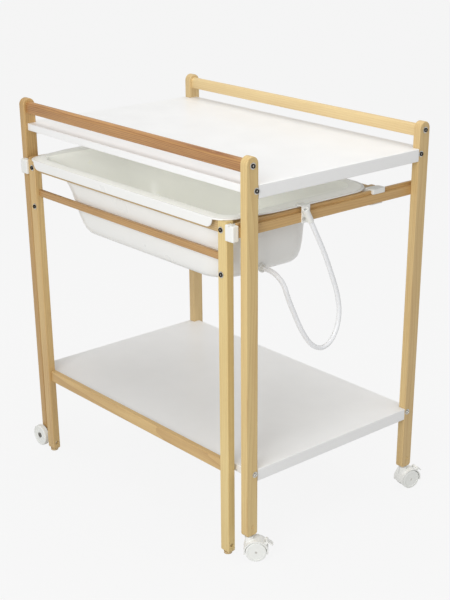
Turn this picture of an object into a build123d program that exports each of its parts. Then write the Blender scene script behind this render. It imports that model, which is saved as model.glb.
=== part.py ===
from build123d import *
import math
import os

# A changing table with a bathtub that slides out under the changing board.
# X runs along the table, Y from its front to its back, Z up from the floor.
# Everything is modelled round the middle of the four posts, and moved once at the end.

# The frame
frame_length = 867
frame_depth = 572
frame_height = 962
frame_middle_x = -8
frame_middle_y = -8
post_thick = 21
post_wide = 34
post_edge_round = 2.5
post_foot_round = 8
post_clear_of_floor = 8
cut_over = 1
play = 0.2

# The rails along the top
top_rail_wide = 20
top_rail_high = 28
top_rail_round = 9.9
top_rail_below_post_top = 8

# The changing board and the storage shelf
board_below_post_top = 62
shelf_top = 233.4
panel_thick = 18
strip_high = 30
strip_thick = 18
board_setback = 9
shelf_setback = 14
panel_round = 2
panel_gap = 0.5

# Bolts, washers and screws
bolt_radius = 3
bolt_head_radius = 5
bolt_head_high = 3
bolt_socket_radius = 2.6
bolt_socket_deep = 2
bolt_into_rail = 30
washer_radius = 7.5
washer_thick = 1.2
rail_bolt_below_top = 19.5
board_bolt_below_top = 12
shelf_bolt_below_top = 10
board_bolt_from_post_edge = 6.4
shelf_bolt_from_post_edge = 9
screw_radius = 1.8
screw_head_radius = 3.8
screw_head_high = 2.4
screw_into_post = 14
dowel_radius = 4.5
dowel_length = 19.5
dowel_above_end = 24
stem_thread_radius = 3

# The rails that the bath slides on
guide_thick = 16
guide_high = 30
guide_below_rim = 1
guide_ledge_wide = 8
guide_ledge_drop = 8
guide_screw_spread = 16
glide_front = 36
glide_length = 30
glide_plate_thick = 4
glide_plate_high = 34
glide_foot_reach = 33
glide_foot_thick = 9.7
sliding_gap = 0.3

# The carriage that carries the bath
leg_wide = 29
leg_deep = 20.3
leg_proud = 14.7
leg_from_end = 48
leg_end_round = 6
leg_glide_high = 6
leg_glide_radius = 10
leg_glide_round = 2
leg_bolt_from_inner_edge = 11
leg_bolt_below_top = 20
leg_bolt_spacing = 100
bar_thick = 13
bar_high = 35
bar_to_leg_outside = 9
bar_past_rim = 18
rear_rail_thick = 18
rear_rail_high = 30
rear_rail_from_bar_end = 12
front_rail_high = 30
front_rail_thick = 11.5
front_rail_setback = 6.9
towel_rail_below_rim = 97
towel_rail_high = 17
towel_rail_thick = 10
towel_rail_setback = 8.7
bottom_rail_bottom = 212
bottom_rail_high = 30
bottom_rail_thick = 14.5
rail_edge_round = 2
shoe_length = 40
shoe_from_bar_end = 5
shoe_below_rim = 1
shoe_bridge_reach = 8
shoe_lip_reach = 8
shoe_lip_thick = 4
shoe_lip_gap = 0.6
shoe_clear = 0.4
catch_high = 36
catch_deep = 17
catch_proud = 20
catch_below_rim = 3
catch_tongue_thick = 8
catch_tongue_back = 28
catch_notch_wide = 6
catch_notch_deep = 3
catch_round = 2.5

# The bathtub
rim_below_board = 78
rim_thick = 4
rim_from_end = 33
rim_deep = 461
rim_proud = 24
rim_corner = 75
rim_edge_round = 1.5
skirt_high = 23
skirt_thick = 4
skirt_to_leg = 10
skirt_corner = 18
rim_end_wide = 41.5
rim_side_wide = 32
tub_wall = 3
tub_deep = 159
# Each row is a level of the bath's inside: its depth as a share of the tub's, the insets of its front,
# rear, right and left walls from the opening, and its corner, the last five as shares of the opening.
tub_level_shares = [
    (0.000, 0.000, 0.000, 0.000, 0.000, 0.113),
    (0.052, 0.001, 0.080, 0.001, 0.019, 0.130),
    (0.110, 0.002, 0.150, 0.002, 0.039, 0.170),
    (0.213, 0.004, 0.225, 0.004, 0.065, 0.205),
    (0.310, 0.005, 0.262, 0.006, 0.084, 0.220),
    (0.413, 0.008, 0.285, 0.009, 0.099, 0.220),
    (0.580, 0.011, 0.290, 0.017, 0.125, 0.200),
    (0.700, 0.015, 0.291, 0.025, 0.143, 0.182),
    (0.840, 0.023, 0.291, 0.038, 0.164, 0.166),
    (0.923, 0.033, 0.293, 0.047, 0.177, 0.160),
    (0.975, 0.048, 0.303, 0.058, 0.188, 0.150),
    (1.000, 0.081, 0.330, 0.077, 0.206, 0.130),
]

# The drain, its hose and the clip that holds the hose's end
drain_back = 131
drain_above_bottom = 16
drain_boss_radius = 12
drain_boss_end = 96
drain_bore_radius = 6
drain_flange_radius = 10.5
drain_flange_thick = 3
drain_spigot_length = 8
strainer_thick = 2
strainer_hole_radius = 1.1
strainer_hole_circle = 3.2
strainer_holes = 6
hose_radius = 5.75
hose_arc_share = 0.45
# The hose's route, from the end of the spigot
hose_route = [
    (0, 0, 0),
    (22.1, 0, 0),
    (41.6, 3.1, -10.6),
    (53.3, 10.2, -29.2),
    (53.5, 19.7, -57.9),
    (51.5, 40, -97),
    (51.5, 63.5, -145),
    (51.5, 93.2, -189),
    (51.5, 126, -212),
    (51.5, 154.4, -210),
    (51.5, 176.5, -190),
    (51.5, 188.7, -159),
    (52, 189.7, -122.5),
    (54.5, 176.6, -78),
    (59, 153.2, -31.5),
    (65.5, 123, 25),
    (71, 90.6, 77),
    (72.5, 69.4, 113),
]
clip_wide = 24
clip_thick = 2.6
clip_high = 39
clip_above_rim = 3
clip_arm_reach = 20.5
clip_arm_thick = 2.7
clip_round = 1.2
clip_socket_radius = 7.4
clip_socket_length = 36
clip_bore_radius = 4.4
clip_screw_below_top = 30
clip_screw_ahead = 7.5

# The two plain wheels at the left end
wheel_radius = 29
wheel_thick = 15
wheel_round = 3
wheel_spacer_thick = 3.5
wheel_spacer_radius = 7
wheel_hub_radius = 9
wheel_hub_deep = 4
wheel_dish_radius = 23
wheel_dish_deep = 1
wheel_axle_radius = 4
wheel_nut_radius = 6.5
wheel_nut_thick = 5
wheel_head_radius = 6.5
wheel_head_high = 3.2
running_gap = 0.05

# The two swivel casters at the right end
caster_high = 64
caster_wheel_radius = 25
caster_wheel_thick = 14
caster_wheel_round = 3
caster_wheel_dish_radius = 19
caster_wheel_dish_deep = 0.8
caster_trail = 16
caster_web_thick = 9
caster_wheel_gap = 0.5
caster_axle_radius = 3
caster_hood_gap = 1.5
caster_hood_wall = 2.8
caster_hood_low = 19
caster_stem_radius = 4
caster_stem_into_post = 34
caster_stem_low = 44
caster_collar_radius = 10
caster_collar_thick = 3
caster_boss_radius = 10.5
caster_hub_radius = 8
caster_turn_front = 48
caster_turn_rear = 78
brake_pivot_angle = 42
brake_pivot_out = 5.5
brake_pin_radius = 1.5
brake_barrel_radius = 3.2
brake_wide = 16
brake_ear_thick = 2.5
brake_tab_length = 17
brake_tab_thick = 3
brake_tab_drop_angle = 38

# Places worked out from the sizes above
end_x = frame_length / 2
front_y = -frame_depth / 2
post_x = end_x - post_thick / 2
post_y = frame_depth / 2 - post_wide / 2
inner_x = end_x - post_thick
short_foot = caster_high
rail_top = frame_height - top_rail_below_post_top
board_top = frame_height - board_below_post_top
rim_top = board_top - rim_below_board
rim_underside = rim_top - rim_thick
guide_top = rim_underside - guide_below_rim
guide_bottom = guide_top - guide_high
leg_x = end_x - leg_from_end - leg_wide / 2
leg_front_y = front_y - leg_proud
leg_y = leg_front_y + leg_deep / 2
leg_inner_x = leg_x - leg_wide / 2
leg_outer_x = leg_x + leg_wide / 2
bar_outer_x = leg_outer_x - bar_to_leg_outside
bar_x = bar_outer_x - bar_thick / 2
bar_front_y = leg_front_y + leg_deep
bar_back_y = front_y - rim_proud + rim_deep + bar_past_rim
towel_rail_bottom = rim_top - towel_rail_below_rim
shoe_top = rim_top - shoe_below_rim
rim_length = frame_length - 2 * rim_from_end
rim_y = front_y - rim_proud + rim_deep / 2
skirt_length = 2 * (leg_inner_x - skirt_to_leg)
opening_length = rim_length - 2 * rim_end_wide
opening_deep = rim_deep - 2 * rim_side_wide
drain_x = end_x - drain_boss_end
drain_y = front_y + drain_back
drain_height = rim_underside - tub_deep + drain_above_bottom
spigot_end = drain_x + drain_flange_thick + drain_spigot_length
hose_points = [(spigot_end + x, drain_y + y, drain_height + z) for x, y, z in hose_route]
clip_top = rim_top + clip_above_rim


def block(x0, x1, y0, y1, z0, z1):
    """A box between two corners."""
    box = Box(x1 - x0, y1 - y0, z1 - z0)
    return Pos((x0 + x1) / 2, (y0 + y1) / 2, (z0 + z1) / 2) * box


def bar(x0, x1, y0, y1, z0, z1, round_by):
    """A box with all its edges rounded."""
    solid = block(x0, x1, y0, y1, z0, z1)
    return fillet(solid.edges(), round_by)


def pin_x(x0, x1, y, z, radius):
    """A cylinder along X."""
    return Pos((x0 + x1) / 2, y, z) * Rot(0, 90, 0) * Cylinder(radius, abs(x1 - x0))


def pin_y(x, y0, y1, z, radius):
    """A cylinder along Y."""
    return Pos(x, (y0 + y1) / 2, z) * Rot(90, 0, 0) * Cylinder(radius, abs(y1 - y0))


def pin_z(x, y, z0, z1, radius):
    """A cylinder along Z."""
    return Pos(x, y, (z0 + z1) / 2) * Cylinder(radius, abs(z1 - z0))


def mirrored_left(shape):
    """The same piece at the left end."""
    return mirror(shape, about=Plane.YZ)


def at_side(shape, side):
    """A piece made for the right end, put at its own end."""
    return shape if side > 0 else mirrored_left(shape)


def socket_bolt(shank_length, washer=washer_thick):
    """A button-head bolt along Z, its head above 0 and its shank below, with a six-sided socket."""
    head_base = washer
    head = pin_z(0, 0, head_base, head_base + bolt_head_high, bolt_head_radius)
    head = fillet(head.edges().group_by(Axis.Z)[-1], bolt_head_high / 2)
    shank = pin_z(0, 0, head_base - shank_length, head_base, bolt_radius)
    socket = extrude(RegularPolygon(bolt_socket_radius, 6), bolt_socket_deep + cut_over)
    return head + shank - Pos(0, 0, head_base + bolt_head_high - bolt_socket_deep) * socket


def washer_ring():
    """A washer along Z, standing on 0."""
    ring = pin_z(0, 0, 0, washer_thick, washer_radius)
    return ring - pin_z(0, 0, -cut_over, washer_thick + cut_over, bolt_radius + play)


def wood_screw(length):
    """A countersunk screw along Z, its head's top at 0."""
    head = Pos(0, 0, -screw_head_high / 2) * Cone(screw_radius, screw_head_radius, screw_head_high)
    return head + pin_z(0, 0, -length, -screw_head_high, screw_radius)


def facing_x(shape, x, y, z, side):
    """A piece made along Z, turned to stick out along X at one end."""
    return Pos(x, y, z) * Rot(0, 90 * side, 0) * shape


def post_bolt_places():
    """Each place on a post's outer face where a bolt goes in: end, Y, height and what it holds."""
    places = []
    for side in (1, -1):
        for depth in (1, -1):
            board_y = frame_depth / 2 - post_wide + board_bolt_from_post_edge
            shelf_y = frame_depth / 2 - post_wide + shelf_bolt_from_post_edge
            places.append((side, depth * post_y, frame_height - rail_bolt_below_top, "rail"))
            places.append((side, depth * board_y, board_top - board_bolt_below_top, "board"))
            places.append((side, depth * shelf_y, shelf_top - shelf_bolt_below_top, "shelf"))
    return places


def bolt_holes(holds):
    """The holes for the bolts that hold one kind of piece, from each post's outer face."""
    holes = []
    inside = end_x - post_thick - bolt_into_rail - cut_over
    for side, y, z, kind in post_bolt_places():
        if kind in holds:
            hole = pin_x(inside, end_x + cut_over, y, z, bolt_radius + play)
            holes.append(at_side(hole, side))
    return holes


def post(side, depth, foot):
    """An upright with a half-round top and a rounded foot."""
    half = post_wide / 2
    with BuildSketch(Plane.YZ) as outline:
        with Locations((0, (foot + frame_height - half) / 2)):
            Rectangle(post_wide, frame_height - half - foot)
        with Locations((0, frame_height - half)):
            Circle(half)
        corners = outline.vertices().group_by(Axis.Y)[0]
        fillet(corners, post_foot_round)
    solid = extrude(outline.sketch, post_thick / 2, both=True)
    solid = fillet(solid.faces().sort_by(Axis.X)[0].edges(), post_edge_round)
    solid = fillet(solid.faces().sort_by(Axis.X)[-1].edges(), post_edge_round)
    return Pos(side * post_x, depth * post_y, 0) * solid


def caster_post(depth):
    """A short upright, bored for a caster's stem and the cross dowel that holds it."""
    solid = post(1, depth, short_foot)
    stem_hole = pin_z(
        post_x, depth * post_y, short_foot - cut_over, short_foot + caster_stem_into_post + play,
        stem_thread_radius + play)
    dowel_hole = pin_x(
        post_x - post_thick, post_x + post_thick, depth * post_y, short_foot + dowel_above_end,
        dowel_radius + play)
    return solid - stem_hole - dowel_hole


def wheel_post(depth):
    """A long upright, bored across for its wheel's axle."""
    solid = post(-1, depth, post_clear_of_floor)
    axle_hole = pin_y(
        -post_x, depth * post_y - post_wide, depth * post_y + post_wide, wheel_radius,
        wheel_axle_radius + play)
    return solid - axle_hole


def drilled(solid, holes):
    """A piece with its holes cut."""
    for hole in holes:
        solid = solid - hole
    return solid


def cross_dowel(x, y, z):
    """A steel cross dowel along X, threaded for a stem."""
    barrel = pin_x(x - dowel_length / 2, x + dowel_length / 2, y, z, dowel_radius)
    reach = dowel_radius + cut_over
    thread = pin_z(x, y, z - reach, z + reach, stem_thread_radius + play / 2)
    return barrel - thread


def top_rail(depth):
    """A rail between two posts, with a half-round top."""
    rail = block(
        -inner_x, inner_x, depth * post_y - top_rail_wide / 2, depth * post_y + top_rail_wide / 2,
        rail_top - top_rail_high, rail_top)
    top_edges = rail.edges().filter_by(Axis.X).group_by(Axis.Z)[-1]
    rail = fillet(top_edges, top_rail_round)
    bottom_edges = rail.edges().filter_by(Axis.X).group_by(Axis.Z)[0]
    rail = fillet(bottom_edges, rail_edge_round)
    return drilled(rail, bolt_holes(["rail"]))


def panel(top, setback, kind):
    """A panel between the posts, notched round them, reaching the strips at its ends."""
    between = frame_depth / 2 - post_wide - panel_gap
    strip_inner_x = end_x - strip_thick
    wide = block(
        -inner_x, inner_x, front_y + setback, -front_y - setback, top - panel_thick, top)
    long = block(-strip_inner_x, strip_inner_x, -between, between, top - panel_thick, top)
    solid = wide + long
    solid = drilled(solid, bolt_holes([kind]))
    long_edges = solid.edges().filter_by(Axis.X).group_by(Axis.Y)
    solid = fillet(long_edges[0] + long_edges[-1], panel_round)
    return solid


def end_strip(top, side):
    """The deeper strip that closes a panel's end, flush with the posts' outer faces."""
    between = frame_depth / 2 - post_wide - panel_gap
    strip = block(end_x - strip_thick, end_x, -between, between, top - strip_high, top)
    outer_edges = strip.faces().sort_by(Axis.X)[-1].edges().filter_by(Axis.Y)
    return at_side(fillet(outer_edges, panel_round), side)


def guide_rail(side):
    """A wooden rail on the posts' inner faces, with a ledge cut in its outer top edge."""
    rail = block(
        inner_x - guide_thick, inner_x, front_y, -front_y, guide_bottom, guide_top)
    rail = fillet(rail.edges().filter_by(Axis.Y), rail_edge_round)
    ledge = block(
        inner_x - guide_ledge_wide, inner_x + cut_over, front_y - cut_over, -front_y + cut_over,
        guide_top - guide_ledge_drop, guide_top + cut_over)
    rail = rail - ledge
    for depth in (1, -1):
        for level in (1, -1):
            rail = rail - guide_screw_hole(depth, level)
    if side > 0:
        rail = rail - clip_screw_hole()
    return at_side(rail, side)


def guide_screw_place(depth, level):
    """The head of a screw that holds a guide rail to its post."""
    height = guide_bottom + guide_high / 2 - guide_ledge_drop / 2 + level * guide_screw_spread / 4
    return inner_x - guide_thick, depth * post_y + level * guide_screw_spread / 2, height


def guide_screw_hole(depth, level):
    """The screw's own shape with play round it, and its hole into the post."""
    x, y, z = guide_screw_place(depth, level)
    head = Pos(x + screw_head_high / 2, y, z) * Rot(0, -90, 0) * Cone(
        screw_radius + play, screw_head_radius + play, screw_head_high)
    return head + pin_x(x, x + guide_thick + screw_into_post + cut_over, y, z, screw_radius + play)


def guide_screws():
    """The screws from inside each guide rail into its posts."""
    screws = []
    for side in (1, -1):
        for depth in (1, -1):
            for level in (1, -1):
                x, y, z = guide_screw_place(depth, level)
                screw = facing_x(wood_screw(guide_thick + screw_into_post), x, y, z, -1)
                screws.append(at_side(screw, side))
    return screws


def front_glide(side):
    """The bracket inside a guide rail's front end that the carriage's side bar runs on."""
    face_x = inner_x - guide_thick
    y0 = front_y + glide_front
    y1 = y0 + glide_length
    top = rim_underside - bar_high - sliding_gap
    plate = block(
        face_x - glide_plate_thick, face_x, y0, y1, top - glide_foot_thick,
        top - glide_foot_thick + glide_plate_high)
    foot = block(face_x - glide_foot_reach, face_x, y0, y1, top - glide_foot_thick, top)
    return at_side(plate + foot, side)


def bath_leg(side):
    """An upright of the carriage, rounded at both ends, bored for its bolts and its foot."""
    leg = block(
        leg_inner_x, leg_outer_x, leg_front_y, leg_front_y + leg_deep, leg_glide_high, rim_underside)
    foot_edges = leg.faces().sort_by(Axis.Z)[0].edges()
    leg = fillet(foot_edges, leg_end_round)
    upright = leg.edges().filter_by(Axis.Z)
    leg = fillet(upright, rail_edge_round)
    for level in (0, 1):
        x, z = leg_bolt_place(level)
        leg = leg - pin_y(
            x, leg_front_y - cut_over, leg_front_y + leg_deep + cut_over, z, bolt_radius + play)
    stem_top = leg_glide_high + dowel_above_end + play
    leg = leg - pin_z(
        leg_x, leg_y, leg_glide_high - cut_over, stem_top, stem_thread_radius + play)
    dowel_z = leg_glide_high + dowel_above_end - dowel_radius
    leg = leg - pin_x(
        leg_inner_x - cut_over, leg_outer_x + cut_over, leg_y, dowel_z, dowel_radius + play)
    return at_side(leg, side)


def leg_bolt_place(level):
    """The X and height of a bolt in the right leg's front face."""
    x = leg_inner_x + leg_bolt_from_inner_edge
    return x, rim_underside - leg_bolt_below_top - level * leg_bolt_spacing


def leg_bolts():
    """The bolts through each leg: the upper one goes on into the side bar."""
    bolts = []
    for side in (1, -1):
        for level, length in ((0, leg_deep + bolt_into_rail), (1, leg_deep)):
            x, z = leg_bolt_place(level)
            bolt = Pos(x, leg_front_y, z) * Rot(90, 0, 0) * socket_bolt(length)
            bolts.append(at_side(bolt, side))
    return bolts


def leg_washers():
    """A washer under each leg bolt's head."""
    washers = []
    for side in (1, -1):
        for level in (0, 1):
            x, z = leg_bolt_place(level)
            washer = Pos(x, leg_front_y, z) * Rot(90, 0, 0) * washer_ring()
            washers.append(at_side(washer, side))
    return washers


def leg_foot(side):
    """The plastic foot under a leg, with its threaded stem."""
    disc = pin_z(leg_x, leg_y, 0, leg_glide_high, leg_glide_radius)
    disc = fillet(disc.edges().group_by(Axis.Z)[0], leg_glide_round)
    stem_top = leg_glide_high + dowel_above_end
    stem = pin_z(leg_x, leg_y, leg_glide_high, stem_top, stem_thread_radius)
    return at_side(disc + stem, side)


def leg_dowel(side):
    """The cross dowel that the foot's stem screws into."""
    dowel_z = leg_glide_high + dowel_above_end - dowel_radius
    return at_side(cross_dowel(leg_x, leg_y, dowel_z), side)


def front_rail(bottom, high, thick, setback):
    """A rail between the two legs."""
    y0 = leg_front_y + setback
    return bar(-leg_inner_x, leg_inner_x, y0, y0 + thick, bottom, bottom + high, rail_edge_round)


def side_bar(side):
    """The bar from a leg back under the rim's end."""
    solid = bar(
        bar_x - bar_thick / 2, bar_x + bar_thick / 2, bar_front_y, bar_back_y,
        rim_underside - bar_high, rim_underside, rail_edge_round)
    x, z = leg_bolt_place(0)
    hole_end_y = bar_front_y + bolt_into_rail + cut_over
    hole = pin_y(x, bar_front_y - cut_over, hole_end_y, z, bolt_radius + play)
    return at_side(solid - hole, side)


def rear_rail():
    """The rail between the side bars' rear ends."""
    inside = bar_x - bar_thick / 2
    y1 = bar_back_y - rear_rail_from_bar_end
    top = rim_underside
    return bar(-inside, inside, y1 - rear_rail_thick, y1, top - rear_rail_high, top, rail_edge_round)


def slider_shoe(side):
    """The shoe on a side bar's rear end: a finger on the guide rail's ledge and a lip under the rail."""
    y1 = bar_back_y - shoe_from_bar_end
    y0 = y1 - shoe_length
    outer = inner_x - shoe_clear
    guide_inner_x = inner_x - guide_thick
    ledge_x = inner_x - guide_ledge_wide
    ledge_z = guide_top - guide_ledge_drop
    web = block(
        bar_outer_x, guide_inner_x - shoe_clear, y0, y1,
        guide_bottom - shoe_lip_gap - shoe_lip_thick, rim_underside - sliding_gap)
    bridge = block(
        guide_inner_x - shoe_bridge_reach, outer, y0, y1, guide_top + sliding_gap, shoe_top)
    finger = block(
        ledge_x + shoe_clear, outer, y0, y1, ledge_z + sliding_gap, guide_top + sliding_gap)
    lip = block(
        guide_inner_x - shoe_clear, guide_inner_x + shoe_lip_reach, y0, y1,
        guide_bottom - shoe_lip_gap - shoe_lip_thick, guide_bottom - shoe_lip_gap)
    shoe = web + bridge + finger + lip
    ends = shoe.edges().filter_by(Axis.Z).group_by(Axis.X)[-1]
    shoe = fillet(ends, rail_edge_round)
    return at_side(shoe, side)


def catch(side):
    """The white catch on a leg's outer side, in front of the guide rail, with a tongue along the leg."""
    y0 = front_y - catch_proud
    top = rim_underside - catch_below_rim
    block_y1 = y0 + catch_deep
    head = bar(leg_outer_x, inner_x, y0, block_y1, top - catch_high, top, catch_round)
    middle_x = (leg_outer_x + inner_x) / 2
    notch = block(
        middle_x - catch_notch_wide / 2, middle_x + catch_notch_wide / 2, y0 - cut_over,
        block_y1 + cut_over, top - catch_notch_deep, top + cut_over)
    tongue = block(
        leg_outer_x, leg_outer_x + catch_tongue_thick, block_y1 - catch_round - cut_over,
        front_y + catch_tongue_back, top - catch_high + catch_round, top - catch_notch_deep)
    return at_side(head - notch + tongue, side)


def tub_level(shares, grow, floor):
    """One level of the bath as a face: grow is the wall outside it, floor how far down the lowest goes."""
    depth, front, rear, right, left, corner = shares
    y0 = rim_y - opening_deep / 2 + front * opening_deep - grow
    y1 = rim_y + opening_deep / 2 - rear * opening_deep + grow
    x1 = opening_length / 2 - right * opening_length + grow
    x0 = -opening_length / 2 + left * opening_length - grow
    outline = RectangleRounded(x1 - x0, y1 - y0, corner * opening_deep + grow)
    return Pos((x0 + x1) / 2, (y0 + y1) / 2, rim_underside - depth * floor) * outline


def tub_shape(grow, floor):
    """The bath's inside or outside form, lofted through its levels."""
    return loft([tub_level(shares, grow, floor) for shares in tub_level_shares])


def rim_plate():
    """The flat rim, with the skirt that hangs from its front edge."""
    outline = RectangleRounded(rim_length, rim_deep, rim_corner)
    plate = extrude(Pos(0, rim_y, rim_underside) * outline, rim_thick)
    skirt_y = front_y - rim_proud
    skirt = block(
        -skirt_length / 2, skirt_length / 2, skirt_y, skirt_y + skirt_thick, rim_top - skirt_high,
        rim_underside + rim_thick / 2)
    lower = skirt.edges().filter_by(Axis.Y).group_by(Axis.Z)[0]
    skirt = fillet(lower, skirt_corner)
    solid = plate + skirt
    return fillet(solid.faces().sort_by(Axis.Z)[-1].edges(), rim_edge_round)


def bathtub():
    """The bath: a thin shell under a flat rim, with a boss for its drain."""
    outside = tub_shape(tub_wall, tub_deep)
    inside = tub_shape(0, tub_deep - tub_wall)
    mouth = extrude(tub_level(tub_level_shares[0], 0, tub_deep), rim_thick + cut_over)
    boss = pin_x(drain_x - drain_boss_radius * 2, drain_x, drain_y, drain_height, drain_boss_radius)
    bore = pin_x(
        drain_x - drain_boss_radius * 4, drain_x + cut_over, drain_y, drain_height,
        drain_bore_radius + play)
    return rim_plate() + outside + boss - (inside + mouth) - bore


def drain_outlet():
    """The outlet in the boss: a flange on its face and a spigot for the hose."""
    tail = pin_x(drain_x - drain_boss_radius, drain_x, drain_y, drain_height, drain_bore_radius)
    flange = pin_x(drain_x, drain_x + drain_flange_thick, drain_y, drain_height, drain_flange_radius)
    spigot = pin_x(drain_x + drain_flange_thick, spigot_end, drain_y, drain_height, hose_radius)
    return tail + flange + spigot


def drain_strainer():
    """The holed disc inside the bore, ahead of the outlet."""
    x1 = drain_x - drain_boss_radius
    disc = pin_x(x1 - strainer_thick, x1, drain_y, drain_height, drain_bore_radius)
    for turn in range(strainer_holes):
        angle = math.tau * turn / strainer_holes
        y = drain_y + strainer_hole_circle * math.cos(angle)
        z = drain_height + strainer_hole_circle * math.sin(angle)
        disc = disc - pin_x(x1 - strainer_thick - cut_over, x1 + cut_over, y, z, strainer_hole_radius)
    return disc


def hose_corner_radii():
    """The largest arc that each corner of the hose's route allows."""
    points = [Vector(*p) for p in hose_points]
    radii = []
    for before, here, after in zip(points, points[1:], points[2:]):
        turn = math.radians((here - before).get_angle(after - here))
        shorter = min((here - before).length, (after - here).length)
        radii.append(hose_arc_share * shorter / math.tan(turn / 2))
    return radii


def hose_path():
    """The hose's middle line: straight runs joined by arcs."""
    return FilletPolyline(*hose_points, radius=hose_corner_radii())


def hose_end_direction():
    """The way the hose points where the clip holds it."""
    return (Vector(*hose_points[-1]) - Vector(*hose_points[-2])).normalized()


def drain_hose():
    """The hose, from the spigot to the clip."""
    path = hose_path()
    section = Plane(origin=path @ 0, z_dir=path % 0) * Circle(hose_radius)
    hose = sweep(section, path=path)
    expected = math.pi * hose_radius**2 * path.length
    print("hose length", round(path.length, 1))
    print("hose volume against section by length", round(hose.volume / expected, 4))
    print("hose radii", [round(radius) for radius in hose_corner_radii()])
    return hose


def clip_place():
    """The middle of the clip's strap along Y."""
    return hose_points[-1][1] + hose_end_direction().Y * clip_socket_length / 2


def hose_clip():
    """The clip on the guide rail: a strap, an arm over the rail and a tube that the hose's end meets."""
    y = clip_place()
    strap = block(
        inner_x, inner_x + clip_thick, y - clip_wide / 2, y + clip_wide / 2, clip_top - clip_high,
        clip_top)
    arm = block(
        inner_x - clip_arm_reach, inner_x + clip_thick, y - clip_wide / 2, y + clip_wide / 2,
        clip_top - clip_arm_thick, clip_top)
    solid = strap + arm
    solid = fillet(solid.edges().filter_by(Axis.X), clip_round)
    end = Plane(origin=hose_points[-1], z_dir=hose_end_direction())
    socket = extrude(end * Circle(clip_socket_radius), clip_socket_length)
    bore = extrude(end * Circle(clip_bore_radius), clip_socket_length + cut_over)
    return solid + socket - bore - clip_screw_hole()


def clip_screw_place():
    """The Y and height of the clip's screw, ahead of its socket."""
    return clip_place() - clip_screw_ahead, clip_top - clip_screw_below_top


def clip_screw_hole():
    """The hole for the clip's screw, through its strap and into the guide rail."""
    y, z = clip_screw_place()
    return pin_x(
        inner_x - guide_thick / 2 - cut_over, inner_x + clip_thick + cut_over, y, z,
        screw_radius + play)


def clip_screw():
    """The screw that holds the clip."""
    y, z = clip_screw_place()
    face = inner_x + clip_thick
    shank = pin_x(face - clip_thick - guide_thick / 2, face, y, z, screw_radius)
    head = pin_x(face, face + screw_head_high / 2, y, z, screw_head_radius)
    return shank + head


def post_bolts(kind):
    """The bolts through the posts that hold one kind of piece."""
    bolts = []
    for side, y, z, holds in post_bolt_places():
        if holds == kind:
            bolt = socket_bolt(post_thick + bolt_into_rail)
            bolts.append(facing_x(bolt, side * end_x, y, z, side))
    return bolts


def post_washers():
    """A washer under each post bolt's head."""
    return [
        facing_x(washer_ring(), side * end_x, y, z, side)
        for side, y, z, holds in post_bolt_places()
    ]


def end_wheel(depth):
    """A plain wheel on the long post's outer face, with a hub recess for its axle bolt's head."""
    inner = depth * (frame_depth / 2 + wheel_spacer_thick)
    outer = inner + depth * wheel_thick
    wheel = pin_y(-post_x, inner, outer, wheel_radius, wheel_radius)
    wheel = fillet(wheel.edges().filter_by(GeomType.CIRCLE), wheel_round)
    past = outer + depth * cut_over
    dish = pin_y(-post_x, outer - depth * wheel_dish_deep, past, wheel_radius, wheel_dish_radius)
    hub = pin_y(-post_x, outer - depth * wheel_hub_deep, past, wheel_radius, wheel_hub_radius)
    bore_radius = wheel_axle_radius + running_gap
    bore = pin_y(-post_x, inner - depth * cut_over, outer, wheel_radius, bore_radius)
    return wheel - dish - hub - bore


def end_wheel_axle(depth):
    """The bolt that carries a plain wheel, with its head in the wheel's hub and its nut inside."""
    post_face = depth * frame_depth / 2
    hub_floor = post_face + depth * (wheel_spacer_thick + wheel_thick - wheel_hub_deep)
    inner_face = post_face - depth * post_wide
    head_base = hub_floor + depth * play
    head_top = head_base + depth * wheel_head_high
    head = pin_y(-post_x, head_base, head_top, wheel_radius, wheel_head_radius)
    nut_face = inner_face - depth * wheel_nut_thick
    shank = pin_y(-post_x, nut_face, head_base, wheel_radius, wheel_axle_radius)
    outline = Plane.XZ * RegularPolygon(bolt_socket_radius, 6)
    socket = extrude(outline, wheel_head_high / 2 + cut_over, both=True)
    return head + shank - Pos(-post_x, head_top + depth * cut_over, wheel_radius) * socket


def end_wheel_nut(depth):
    """The nut inside the post."""
    inner_face = depth * (frame_depth / 2 - post_wide)
    nut = extrude(Plane.XZ * RegularPolygon(wheel_nut_radius, 6), wheel_nut_thick / 2, both=True)
    nut = Pos(-post_x, inner_face - depth * wheel_nut_thick / 2, wheel_radius) * nut
    reach = wheel_nut_thick * 2
    thread_radius = wheel_axle_radius + play / 2
    return nut - pin_y(-post_x, inner_face - reach, inner_face + reach, wheel_radius, thread_radius)


def end_wheel_spacer(depth):
    """The spacer between the post and its wheel."""
    post_face = depth * frame_depth / 2
    outer = post_face + depth * (wheel_spacer_thick - play)
    ring = pin_y(-post_x, post_face, outer, wheel_radius, wheel_spacer_radius)
    bore_radius = wheel_axle_radius + play / 2
    past = outer + depth * cut_over
    return ring - pin_y(-post_x, post_face - depth * cut_over, past, wheel_radius, bore_radius)


def caster_place(depth):
    """The swivel axis of a caster, turned as it was left: trail along X before the turn."""
    turn = caster_turn_front if depth < 0 else caster_turn_rear
    return Pos(post_x, depth * post_y, 0) * Rot(0, 0, turn)


def caster_half_wide():
    """Half a caster's width over its wheels."""
    return caster_web_thick / 2 + caster_wheel_gap + caster_wheel_thick


def caster_stem():
    """The steel stem up into the post, with the collar that the post stands on."""
    stem = pin_z(0, 0, caster_stem_low, caster_high, caster_stem_radius)
    thread = pin_z(0, 0, caster_high, caster_high + caster_stem_into_post, stem_thread_radius)
    collar = pin_z(0, 0, caster_high - caster_collar_thick, caster_high, caster_collar_radius)
    return stem + collar + thread


def brake_pivot():
    """The X and height of the brake lever's pivot, outside the hood."""
    out = caster_wheel_radius + caster_hood_gap + caster_hood_wall + brake_pivot_out
    angle = math.radians(brake_pivot_angle)
    return caster_trail + out * math.cos(angle), caster_wheel_radius + out * math.sin(angle)


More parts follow.
